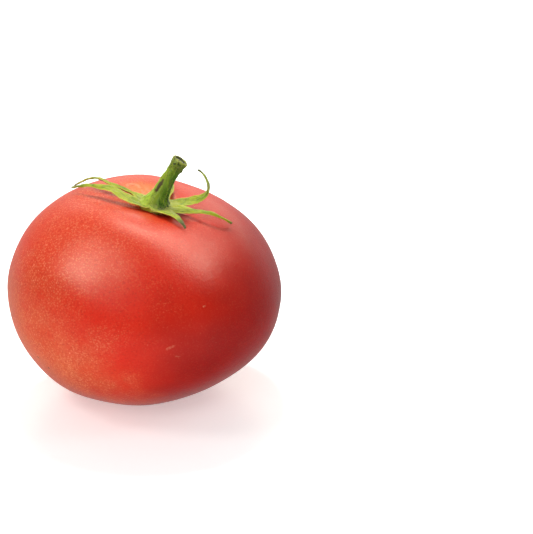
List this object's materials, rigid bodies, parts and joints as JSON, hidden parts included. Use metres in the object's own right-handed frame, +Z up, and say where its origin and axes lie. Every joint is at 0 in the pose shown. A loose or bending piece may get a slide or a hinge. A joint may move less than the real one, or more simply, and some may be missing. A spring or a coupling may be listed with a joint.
{
  "type": "tomato",
  "caption": "Ripe round red tomato with a dimpled, softly ribbed shoulder, a leaning green stalk stub with a knuckle end, and a calyx of narrow curling sepals.",
  "frame": {"origin": "on the table under the middle of the whole object's box", "axes": "+Z up, out of the stalk end; -Y is the front, the side seen with the leaning stalk pointing to the right; +X to the right"},
  "size_m": [0.0798, 0.0798, 0.0731],
  "materials": {
    "tomato_skin": "thin glossy tomato skin, warm red, with fine pale golden specks, a yellow-orange tint round the stalk and a few pale corky marks",
    "green_stalk": "ridged, slightly downy green stalk, yellow-green on one side, with brown streaks and a corky scar on its broken end",
    "green_sepal": "soft yellow-green leaf tissue with a paler rim, faint veins, fine down and drying tips"
  },
  "bodies": {
    "root": {"fruit": "tomato_skin", "stalk": "green_stalk", "sepal_left": "green_sepal", "sepal_left_back": "green_sepal", "sepal_back": "green_sepal", "sepal_right_back": "green_sepal", "sepal_right_front": "green_sepal", "sepal_front": "green_sepal"}
  },
  "joints": []
}
